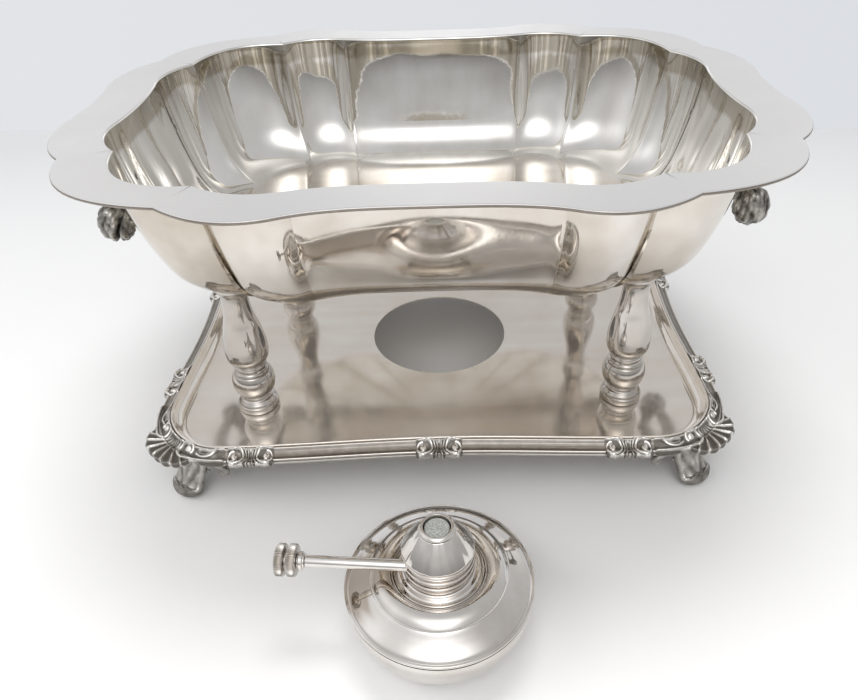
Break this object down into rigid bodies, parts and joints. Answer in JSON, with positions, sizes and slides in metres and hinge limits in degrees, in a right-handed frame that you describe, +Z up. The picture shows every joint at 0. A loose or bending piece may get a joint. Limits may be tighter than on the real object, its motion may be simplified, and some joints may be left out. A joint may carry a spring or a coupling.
{
  "type": "roll top chafer",
  "caption": "Open lobed serving dish with a wide flange on baluster columns and a footed tray, with a loose spirit burner.",
  "frame": {"origin": "on the table, under the middle of the whole set's footprint, burner included", "axes": "+Z up, +X along the dish's long side to the right, -Y towards the side where the burner stands"},
  "size_m": [0.3542, 0.3668, 0.1761],
  "materials": {
    "silver_plate": "polished silver plate",
    "satin_silver": "silver plate, satin flange and polished wall",
    "cast_silver": "cast silver plate with dark patina in the recesses",
    "nickel": "plain nickel plate",
    "brass": "machined",
    "wick_cotton": "packed grey cotton"
  },
  "bodies": {
    "stand": {"tray_plate": "silver_plate", "tray_border": "cast_silver", "corner_shell_1": "cast_silver", "corner_shell_2": "cast_silver", "corner_shell_3": "cast_silver", "corner_shell_4": "cast_silver", "scroll_mount_1": "cast_silver", "scroll_mount_2": "cast_silver", "scroll_mount_3": "cast_silver", "scroll_mount_4": "cast_silver", "scroll_mount_5": "cast_silver", "scroll_mount_6": "cast_silver", "scroll_mount_7": "cast_silver", "scroll_mount_8": "cast_silver", "scroll_mount_9": "cast_silver", "scroll_mount_10": "cast_silver", "foot_1": "cast_silver", "foot_2": "cast_silver", "foot_3": "cast_silver", "foot_4": "cast_silver", "column_base_1": "silver_plate", "column_base_2": "silver_plate", "column_base_3": "silver_plate", "column_base_4": "silver_plate", "column_1": "silver_plate", "column_2": "silver_plate", "column_3": "silver_plate", "column_4": "silver_plate", "tie_rod_1": "nickel", "tie_rod_2": "nickel", "tie_rod_3": "nickel", "tie_rod_4": "nickel", "tie_nut_1": "brass", "tie_nut_2": "brass", "tie_nut_3": "brass", "tie_nut_4": "brass", "saddle_boss_1": "nickel", "saddle_boss_2": "nickel", "saddle_boss_3": "nickel", "saddle_boss_4": "nickel", "dish_pan": "satin_silver", "end_handle_left": "cast_silver", "end_handle_right": "cast_silver"},
    "burner": {"reservoir_base": "silver_plate", "reservoir_top": "silver_plate", "neck_ring": "brass"},
    "burner_head": {"screw_collar": "silver_plate", "burner_cone": "silver_plate", "wick_tube": "silver_plate", "regulator_tube": "silver_plate", "tube_ferrule": "silver_plate"},
    "regulator": {"pinion": "brass", "regulator_shaft": "nickel", "knob_inner": "silver_plate", "knob_outer": "silver_plate"},
    "wick_set": {"wick": "wick_cotton", "wick_carrier": "brass"}
  },
  "joints": [
    {"name": "burner_lift", "type": "slide", "parent": "stand", "child": "burner", "axis": [0, 0, 1], "range_m": [0, 0.12]},
    {"name": "head_lift", "type": "slide", "parent": "burner", "child": "burner_head", "axis": [0, 0, 1], "range_m": [0, 0.045]},
    {"name": "regulator_turn", "type": "hinge", "parent": "burner_head", "child": "regulator", "pos_m": [-0.00059, -0.14905, 0.0442], "axis": [0.9965, -0.0837, 0], "range_deg": [-30, 120]},
    {"name": "wick_rise", "type": "slide", "parent": "burner_head", "child": "wick_set", "axis": [0, 0, 1], "range_m": [-0.001, 0.004]}
  ],
  "couplings": [
    {"joint": "regulator_turn", "follows": "wick_rise", "rad_per_m": 500}
  ]
}
